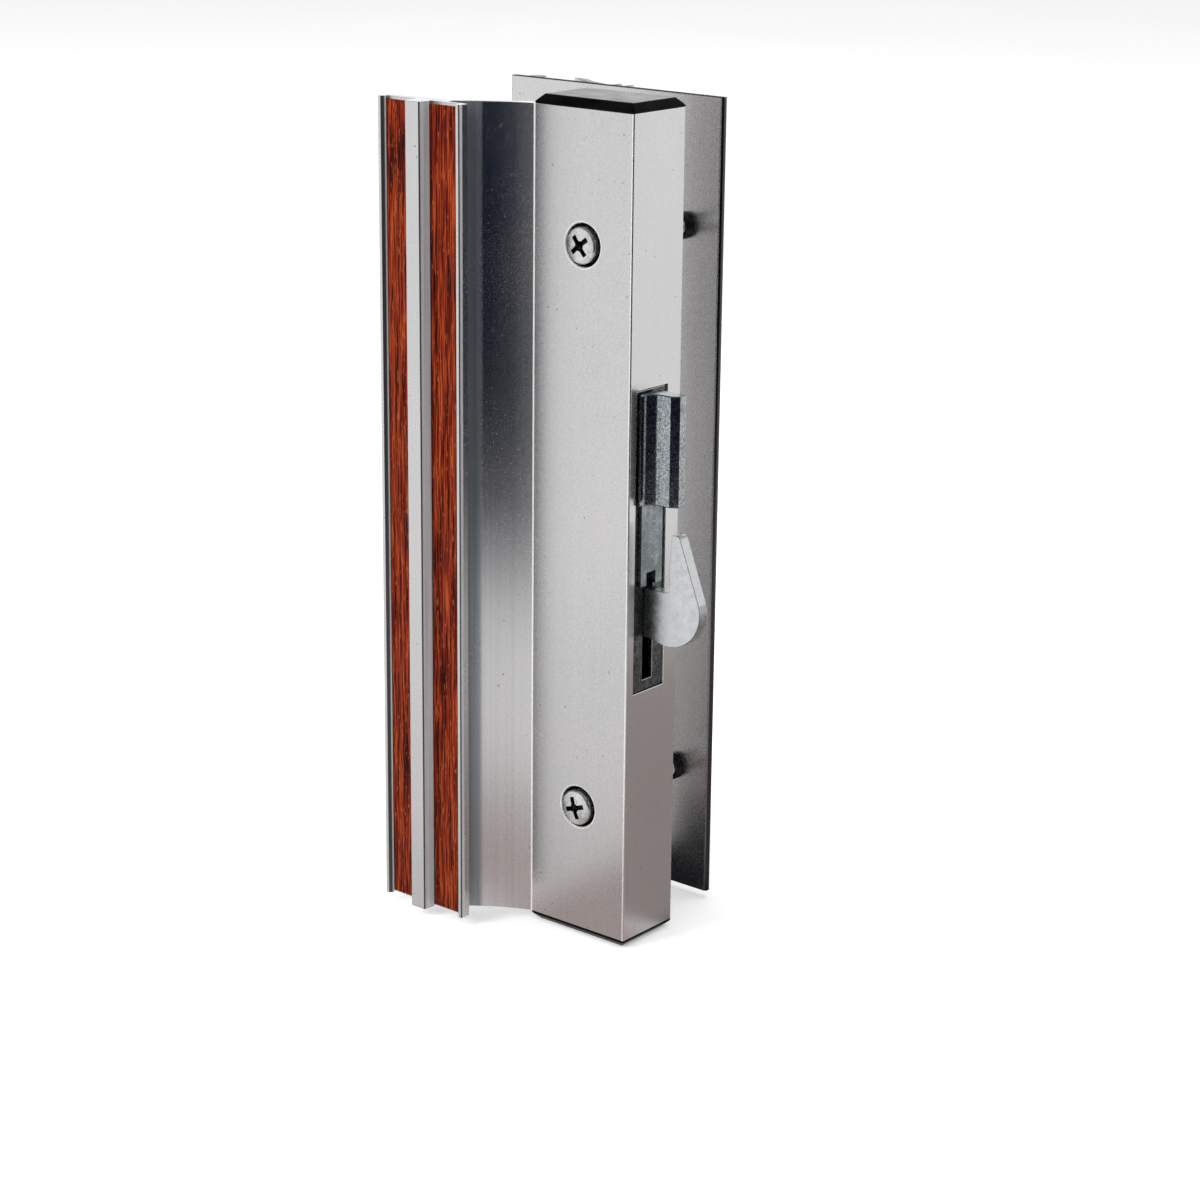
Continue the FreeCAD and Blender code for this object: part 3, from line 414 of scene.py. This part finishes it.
def plated(name, base, rough, mottle=0.25, scale=420.0, speck=0.0, metallic=0.95, bump=0.12, wear=0.4, cells=0.2, tint=None, recess_shade=None, speck_tone=(0.75, 0.78, 0.78), seam_and_shade=0.0, side_shade=None, painted_shadow=None, rim_highlight=0.0):
    """Zinc-plated or cast metal: spangled tone and roughness, brighter rubbed edges; optionally dark arris lines,
    partly sheared edge and partly painted shade, painted shade on +X faces and in recesses, a painted shadow, and
    painted rim highlights.
    """
    m = Mat(name)
    big = m.noise(m.coord, scale * 0.35, 4.0, 0.6)
    vor = m.voronoi(m.coord, scale, out="Color")
    cell = m.nt.nodes.new("ShaderNodeRGBToBW")
    m.nt.links.new(vor, cell.inputs[0])
    fine = m.noise(m.coord, scale * 4.5, 3.0, 0.65)
    t = m.math("ADD", m.math("MULTIPLY", big, 0.6 - cells), m.math("MULTIPLY", cell.outputs[0], cells))
    t = m.math("ADD", t, m.math("MULTIPLY", fine, 0.4))
    lo = tuple(c * (1 - mottle) for c in base)
    hi = tuple(min(1.0, c * (1 + mottle * 0.8)) for c in base)
    col = m.ramp(t, [(0.36, lo), (0.5, base), (0.64, hi)])
    if tint:
        col = m.mix(m.range(m.noise(m.coord, scale * 0.2, 3.0), 0.45, 0.62, 0.0, 0.6), col, tint)
    if speck:
        s = m.range(m.noise(m.coord, scale * 4.5, 2.0, 0.7), 0.56, 0.64, 0.0, 1.0)
        col = m.mix(m.math("MULTIPLY", s, speck), col, speck_tone)
    if wear:
        rub = m.edges(0.00028)
        col = m.mix(m.math("MULTIPLY", rub, m.range(big, 0.35, 0.65, wear * 0.4, wear)), col, tuple(min(1.0, c * 1.3 + 0.12) for c in base))
    if side_shade is not None:
        # painted shade: faces turned towards +X are multiplied darker
        n = m.true_normal()
        col = m.mix(m.range(n[0], 0.35, 0.6, 0.0, 1.0), col, (side_shade, side_shade, side_shade), "MULTIPLY")
    # painted shadow: a dark mottled grey laid on the hook's arm near the slot
    if painted_shadow is not None:
        col = m.mix(painted_shadow(m), col, m.ramp(fine, [(0.40, (0.020, 0.024, 0.028)), (0.62, (0.16, 0.175, 0.18))]))
    if seam_and_shade:
        # dark line along the front arrises: partly the sheared edge of the stamping, partly painted shade
        line = band_of(m, m.true_normal()[1], -0.94, -0.28)
        broken = m.range(m.noise(m.coord, 2600.0, 2.0), 0.40, 0.52, 0.65, 1.0)
        col = m.mix(m.math("MULTIPLY", m.math("MULTIPLY", line, broken), seam_and_shade), col, (0.03, 0.032, 0.035))
    if rim_highlight:
        # painted highlight: near white on faces turned towards +X
        col = m.mix(m.math("MULTIPLY", band_of(m, m.true_normal()[0], 0.28, 0.96), rim_highlight), col, (0.80, 0.82, 0.83))
    if recess_shade is not None:
        # painted shade: the driver recess near black
        col = m.mix(recess_shade(m), col, (0.012, 0.012, 0.014))
    m.set("Base Color", col)
    m.set("Metallic", metallic)
    m.set("Roughness", m.range(t, 0.35, 0.65, max(0.05, rough - 0.08), rough + 0.1))
    m.set("Normal", m.bump(fine, bump, 0.00005))
    return m.mat


def cast(name):
    """Dark die-cast metal, burnished bright, with a fine sparkling grain."""
    m = Mat(name)
    fine = m.noise(m.coord, 3600.0, 2.0, 0.75)
    mid = m.noise(m.coord, 1500.0, 3.0, 0.6)
    cloud = m.noise(m.coord, 260.0, 2.0, 0.5)
    t = m.math("ADD", m.math("MULTIPLY", fine, 0.62), m.math("MULTIPLY", mid, 0.30))
    t = m.math("ADD", t, m.math("MULTIPLY", cloud, 0.08))
    col = m.ramp(t, [(0.38, (0.085, 0.092, 0.100)), (0.47, (0.26, 0.28, 0.295)), (0.55, (0.42, 0.45, 0.465)), (0.64, (0.72, 0.76, 0.79))])
    rub = m.edges(0.00022, 0.15)
    col = m.mix(m.math("MULTIPLY", rub, m.range(mid, 0.35, 0.60, 0.15, 0.75)), col, (0.78, 0.80, 0.82))
    m.set("Base Color", col)
    m.set("Metallic", 1.0)
    m.set("Roughness", m.range(t, 0.35, 0.65, 0.11, 0.21))
    b = m.bump(fine, 0.30, 0.00005)
    b = m.bump(mid, 0.10, 0.00006, b)
    m.set("Normal", b)
    return m.mat


def arm_painted_shadow(m):
    """1 on the hook's arm near the slot, where the shadow of the box's corner is painted dark."""
    x, y, z = m.split()
    shade_edge = m.math("ADD", x, m.math("MULTIPLY", m.math("SUBTRACT", m.noise(m.coord, 700.0, 3.0, 0.6), 0.5), 0.0028))
    return m.range(shade_edge, (0.8 + OFFSET.x) * MM, (4.6 + OFFSET.x) * MM, 0.90, 0.0)


def cross_recess_shade(m):
    """1 in the driver recess of either mounting screw head, where painted shade makes it near black."""
    x, y, z = m.split()
    ax = (SCREW_X + OFFSET.x) * MM
    dx = m.math("SUBTRACT", x, ax)
    zz = m.math("SUBTRACT", m.math("ABSOLUTE", z), 69.85 * MM)
    r2 = m.math("ADD", m.math("MULTIPLY", dx, dx), m.math("MULTIPLY", zz, zz))
    near = m.range(m.math("SQRT", r2), 0.0030, 0.0032, 1.0, 0.0)
    deep = m.range(y, (-1.10 + OFFSET.y) * MM, (-0.90 + OFFSET.y) * MM, 0.0, 1.0)
    shank = m.range(y, (0.8 + OFFSET.y) * MM, (1.2 + OFFSET.y) * MM, 1.0, 0.0)
    return m.math("MULTIPLY", m.math("MULTIPLY", near, deep), shank)


MATS = {
    "aluminium": aluminium("satin_aluminium", (0.665, 0.660, 0.668), 0.235, 0.5, flank_sheen=grip_flank_sheen),
    # the plate's cut ends get a dark saw-mark tone: painted shade
    "aluminium_plate": aluminium("satin_aluminium_plate", (0.70, 0.69, 0.695), 0.26, 0.5, 4.0, end_tone=(0.20, 0.36), shade_edge=plate_painted_outlines, end_from=0.60),
    "wood_a": wood("wood_strip_outer", 0.0, -63.8, -55.3),
    "wood_b": wood("wood_strip_inner", 7.3, -49.9, -41.4),
    "black": black_plastic("black_plastic"),
    "screw": plated("zinc_screw", (0.66, 0.67, 0.66), 0.24, 0.35, 1100.0, bump=0.2, recess_shade=cross_recess_shade, wear=0.0),
    "zinc": plated("zinc_plain", (0.66, 0.67, 0.66), 0.26, 0.3, 900.0),
    "dark_steel": plated("dark_plated_steel", (0.035, 0.035, 0.04), 0.30, 0.3, 700.0, wear=0.15),
    "galv": plated("galvanised_strip", (0.26, 0.292, 0.30), 0.25, 0.50, 1200.0, speck=0.25, tint=(0.13, 0.15, 0.155)),
    # the latch case: the strip's galvanised steel with a much darker base, painted shade, and painted highlights on its
    # +X faces
    "case": plated("galvanised_case_shaded", (0.105, 0.110, 0.112), 0.28, 0.70, 1200.0, speck=0.22, speck_tone=(0.45, 0.47, 0.48), tint=(0.05, 0.053, 0.055), wear=0.0, rim_highlight=0.85),
    "cast": cast("dark_cast"),
    # the hook: painted shade on its +X faces, a dark arris line partly sheared edge and partly painted shade, a painted
    # shadow on its arm
    "hook": plated("bright_zinc_hook", (0.665, 0.680, 0.695), 0.30, 0.20, 700.0, bump=0.25, wear=0.0, seam_and_shade=0.95, side_shade=0.60, painted_shadow=arm_painted_shadow),
    "spring": plated("spring_steel", (0.30, 0.31, 0.33), 0.25, 0.2, 500.0),
}

USE = {
    "interior_handle": "aluminium", "exterior_pull": "aluminium_plate",
    "grip_insert_outer": "wood_a", "grip_insert_inner": "wood_b",
    "top_end_cap": "black", "bottom_end_cap": "black",
    "post_nut_upper": "dark_steel", "post_nut_lower": "dark_steel",
    "screw_sleeve_upper": "zinc", "screw_sleeve_lower": "zinc",
    "mounting_screw_upper": "screw", "mounting_screw_lower": "screw",
    "latch_case": "case", "case_back_plate": "case",
    "case_screw_lower": "zinc", "case_screw_upper": "zinc",
    "slide_strip": "galv", "thumb_slide": "cast", "slide_plate": "galv",
    "slide_rivets": "zinc", "latch_hook": "hook", "hook_rivets": "zinc",
    "detent_spring": "spring", "spring_rivet": "zinc",
}
BEVEL = {
    "interior_handle": 0.18, "exterior_pull": 0.18, "grip_insert_outer": 0.06, "grip_insert_inner": 0.06,
    "top_end_cap": 0.22, "bottom_end_cap": 0.22, "thumb_slide": 0.22, "latch_hook": 0.34, "slide_strip": 0.12,
    "latch_case": 0.12, "mounting_screw_upper": 0.08, "mounting_screw_lower": 0.08,
}


def finish_node(node):
    """Gives a CAD node its material, merged vertices, small bevels and clean shading."""
    o = NODES[node]
    o.data.materials.clear()
    o.data.materials.append(MATS[USE[node]])
    w = o.modifiers.new("weld", "WELD")
    w.merge_threshold = 0.000002
    d = o.modifiers.new("flat_faces", "DECIMATE")          # joins the triangles of one flat face
    d.decimate_type = "DISSOLVE"
    d.angle_limit = math.radians(0.3)
    b = o.modifiers.new("bevel", "BEVEL")
    b.width = BEVEL.get(node, 0.08) * MM
    b.segments = 2
    b.limit_method = "ANGLE"
    b.angle_limit = math.radians(17)
    b.miter_outer = "MITER_ARC"
    n = o.modifiers.new("flat_shading", "WEIGHTED_NORMAL")
    n.mode = "FACE_AREA"
    n.weight = 100
    for poly in o.data.polygons:
        poly.use_smooth = True


for node in NODES:
    finish_node(node)
for node in ("grip_insert_outer", "grip_insert_inner"):
    NODES[node].visible_glossy = False          # keeps brown out of the bright lips beside the strips

# ---------------------------------------------------------------------------
# Camera: the photograph's viewing angle, found from its vanishing lines
# ---------------------------------------------------------------------------
AZ, EL, ROLL = math.radians(39.22), math.radians(16.0), math.radians(0.62)
POINT = Vector((0.0, 0.0, 101.6)) + OFFSET
CX, CY, CZ = 6.7, -1.3, 661.7
back = Vector((math.sin(AZ) * math.cos(EL), -math.cos(AZ) * math.cos(EL), math.sin(EL)))
right = Vector((math.cos(AZ), math.sin(AZ), 0.0))
up = back.cross(right)
right, up = right * math.cos(ROLL) + up * math.sin(ROLL), up * math.cos(ROLL) - right * math.sin(ROLL)
spot = (POINT + back * CZ - right * CX - up * CY) * MM
cam_data = bpy.data.cameras.new("camera")
cam = bpy.data.objects.new("camera", cam_data)
bpy.context.scene.collection.objects.link(cam)
cam.matrix_world = Matrix((
    (right.x, up.x, back.x, spot.x),
    (right.y, up.y, back.y, spot.y),
    (right.z, up.z, back.z, spot.z),
    (0, 0, 0, 1),
))
cam_data.sensor_width = 36.0
cam_data.lens = 2800.0 / 1200.0 * 36.0
cam_data.shift_y = -0.05
cam_data.clip_start, cam_data.clip_end = 0.01, 50.0
bpy.context.scene.camera = cam


# ---------------------------------------------------------------------------
# Screw threads: a ridge wound round the threaded length of each mounting screw
# ---------------------------------------------------------------------------
def thread(name, x, z, y0, y1, root, crest, pitch, body, phase):
    steps = 36
    turns = (y1 - y0) / pitch
    count = int(turns * steps)
    verts, faces = [], []
    for i in range(count + 1):
        a = phase + 2 * math.pi * i / steps
        y = y0 + (y1 - y0) * i / count
        fade = min(1.0, i / (steps * 0.75), (count - i) / (steps * 0.75))
        top = root + (crest - root) * max(0.04, fade)
        ca, sa = math.cos(a), math.sin(a)
        half = pitch * 0.42
        for r, dy in ((root - 0.06, -half), (top, -pitch * 0.06), (top, pitch * 0.06), (root - 0.06, half)):
            verts.append(at(x + r * ca, y + dy, z + r * sa))
    for i in range(count):
        p, q = 4 * i, 4 * i + 4
        for j in range(4):
            k = (j + 1) % 4
            faces.append((p + j, p + k, q + k, q + j))
    faces.append((0, 3, 2, 1))
    e = 4 * count
    faces.append((e, e + 1, e + 2, e + 3))
    me = bpy.data.meshes.new(name)
    me.from_pydata([tuple(v) for v in verts], [], faces)
    tm = bmesh.new()
    tm.from_mesh(me)
    bmesh.ops.recalc_face_normals(tm, faces=tm.faces)
    tm.to_mesh(me)
    tm.free()
    for poly in me.polygons:
        poly.use_smooth = True
    me.set_sharp_from_angle(angle=math.radians(35))
    o = bpy.data.objects.new(name, me)
    bpy.context.scene.collection.objects.link(o)
    me.materials.append(MATS["zinc"])
    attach(o, body)
    return o


for i, (where, z) in enumerate(SCREWS.items()):
    thread("screw_thread_" + where, SCREW_X, z, 13.7, 40.1, 2.0, 2.38, 1.058, "handle", 0.7 * i)

# ---------------------------------------------------------------------------
# Stage: pale floor, soft lights
# ---------------------------------------------------------------------------
FLOOR_Z = CAD_BOX[0].z


def disc(name, radius, z):
    mesh = bpy.data.meshes.new(name)
    bm = bmesh.new()
    bmesh.ops.create_circle(bm, cap_ends=True, segments=96, radius=radius)
    bm.to_mesh(mesh)
    bm.free()
    o = bpy.data.objects.new(name, mesh)
    o.location = (0, 0, z)
    bpy.context.scene.collection.objects.link(o)
    return o


floor = disc("floor", 9.0, FLOOR_Z)
fm = Mat("pale_floor")
fm.set("Base Color", fm.ramp(fm.noise(fm.coord, 3.0, 2.0), [(0.3, (0.86, 0.86, 0.86)), (0.7, (0.90, 0.90, 0.90))]))
fm.set("Roughness", 0.75)
fm.set("Specular IOR Level", 0.2)
fm.set("Emission Color", (1.0, 1.0, 1.0, 1.0))
fm.set("Emission Strength", 0.34)
floor.data.materials.append(fm.mat)

world = bpy.data.worlds.new("studio")
bpy.context.scene.world = world
world.use_nodes = True


def sector(m, x, y, azimuth, inner, outer):
    """1 within inner degrees of an azimuth (0 is -Y, 90 is +X), 0 beyond outer."""
    a = math.radians(azimuth)
    d = m.math("ADD", m.math("MULTIPLY", x, math.sin(a)), m.math("MULTIPLY", y, -math.cos(a)))
    return m.range(d, math.cos(math.radians(outer)), math.cos(math.radians(inner)), 0.0, 1.0, smooth=True)


class WorldTree(Mat):
    """The same node helpers on the world's tree."""

    def __init__(self, world):
        self.nt = world.node_tree
        self.nt.nodes.clear()
        self.out = self.nt.nodes.new("ShaderNodeOutputWorld")
        self.coord = self.nt.nodes.new("ShaderNodeTexCoord").outputs["Generated"]

    def background(self, color):
        n = self.nt.nodes.new("ShaderNodeBackground")
        if isinstance(color, tuple):
            n.inputs[0].default_value = (*color, 1.0)
        else:
            self.nt.links.new(color, n.inputs[0])
        return n.outputs[0]

    def choose(self, fac, a, b):
        n = self.nt.nodes.new("ShaderNodeMixShader")
        for i, s in enumerate((fac, a, b)):
            self.nt.links.new(s, n.inputs[i])
        return n.outputs[0]


NAVY = (0.0005, 0.005, 0.017)
BRIGHT = 0.95
wt = WorldTree(world)
wx, wy, wz = wt.split()
path = wt.nt.nodes.new("ShaderNodeLightPath")
sky = wt.ramp(wt.range(wz, -0.2, 1.0, 0.0, 1.0), [(0.0, (0.95, 0.95, 0.95)), (0.38, (0.85, 0.85, 0.85)), (0.58, (0.22, 0.22, 0.23)), (1.0, (0.16, 0.16, 0.17))])
behind = sector(wt, wx, wy, 215.0, 25.0, 75.0)
sky = wt.mix(wt.math("MULTIPLY", behind, wt.range(wz, 0.55, 0.8, 1.0, 0.0)), sky, (1.75, 1.75, 1.75))
dark_side = wt.math("MULTIPLY", sector(wt, wx, wy, 48.0, 42.0, 62.0), wt.range(wz, 0.35, 0.7, 1.0, 0.0))
sky = wt.mix(dark_side, sky, NAVY)
seen = wt.background((1.0, 1.0, 1.0))
lit = wt.background((0.42, 0.42, 0.42))
mirror = wt.background(sky)
w = wt.choose(path.outputs["Is Glossy Ray"], lit, mirror)
w = wt.choose(path.outputs["Is Camera Ray"], w, seen)
wt.nt.links.new(w, wt.out.inputs["Surface"])

# what reflections see of the table top: bright board, dark beyond it towards the camera;
# the object's shade painted on it: darker close round it, a warm shade in front, half dark close behind, near black in
# the gap
glow = disc("table_reflection", 6.0, FLOOR_Z + 0.0015)
gm = Mat("table_reflection")
gx, gy, gz = gm.split()
r = gm.math("SQRT", gm.math("ADD", gm.math("MULTIPLY", gx, gx), gm.math("MULTIPLY", gy, gy)))
inv = gm.math("DIVIDE", 1.0, gm.math("MAXIMUM", r, 0.001))
ux, uy = gm.math("MULTIPLY", gx, inv), gm.math("MULTIPLY", gy, inv)
board = gm.ramp(gm.range(r, 0.0, 0.5, 0.0, 1.0), [(0.0, (0.62, 0.60, 0.59)), (0.25, (0.82, 0.81, 0.81)), (0.7, (BRIGHT, BRIGHT, BRIGHT))])
dark = gm.math("MULTIPLY", sector(gm, ux, uy, 48.0, 42.0, 62.0), gm.range(r, 0.25, 0.38, 0.0, 1.0, smooth=True))
# painted shade: a warm darker patch on the table just in front of the object
near = gm.math("MULTIPLY", gm.range(gx, -0.030, -0.008, 0.0, 1.0, smooth=True), gm.range(gy, -0.15, -0.045, 0.0, 1.0, smooth=True))
near = gm.math("MULTIPLY", near, gm.range(gy, -0.020, 0.0, 1.0, 0.0, smooth=True))
board = gm.mix(near, board, (0.46, 0.395, 0.38))
g_col = gm.mix(dark, board, NAVY)
# painted shadow of the object on the table close behind it
painted_back_shadow = gm.math("MULTIPLY", sector(gm, ux, uy, 140.0, 50.0, 75.0), gm.range(r, 0.20, 0.36, 1.0, 0.0, smooth=True))
g_col = gm.mix(painted_back_shadow, g_col, (0.34, 0.30, 0.285))
# painted shadow: near black on the table inside the gap between handle and plate
gap_shadow_x = gm.math("MULTIPLY", gm.range(gx, -0.30, -0.055, 0.0, 1.0, smooth=True), gm.range(gx, 0.006, 0.022, 1.0, 0.0, smooth=True))
gap_shadow_y = gm.math("MULTIPLY", gm.range(gy, -0.006, 0.002, 0.0, 1.0, smooth=True), gm.range(gy, 0.026, 0.060, 1.0, 0.0, smooth=True))
g_col = gm.mix(gm.math("MULTIPLY", gap_shadow_x, gap_shadow_y), g_col, (0.012, 0.012, 0.014))
gm.set("Base Color", (0.0, 0.0, 0.0, 1.0))
gm.set("Specular IOR Level", 0.0)
gm.set("Roughness", 1.0)
gm.set("Emission Color", g_col)
gm.set("Emission Strength", 1.0)
glow.data.materials.append(gm.mat)
for prop in ("visible_camera", "visible_diffuse", "visible_shadow", "visible_transmission", "visible_volume_scatter"):
    setattr(glow, prop, False)


def softbox(name, pos, target, size, power, color=(1, 1, 1), spread=180.0):
    light = bpy.data.lights.new(name, "AREA")
    light.shape = "RECTANGLE"
    light.size, light.size_y = size
    light.energy = power
    light.color = color
    light.spread = math.radians(spread)
    o = bpy.data.objects.new(name, light)
    o.location = pos
    o.rotation_mode = "QUATERNION"
    o.rotation_quaternion = (Vector(target) - Vector(pos)).to_track_quat("-Z", "Y")
    bpy.context.scene.collection.objects.link(o)
    return o


softbox("key", (-0.42, -0.95, 0.55), (0, 0, 0), (0.45, 0.6), 9.0, (1.0, 0.99, 0.97)).visible_glossy = False
softbox("top", (0.0, 0.0, 2.2), (0, 0, 0), (3.0, 3.0), 40.0).visible_glossy = False
softbox("back_right", (0.9, 0.8, 0.5), (0, 0, 0), (0.8, 0.8), 2.0)

bpy.context.scene.view_settings.view_transform = "Standard"
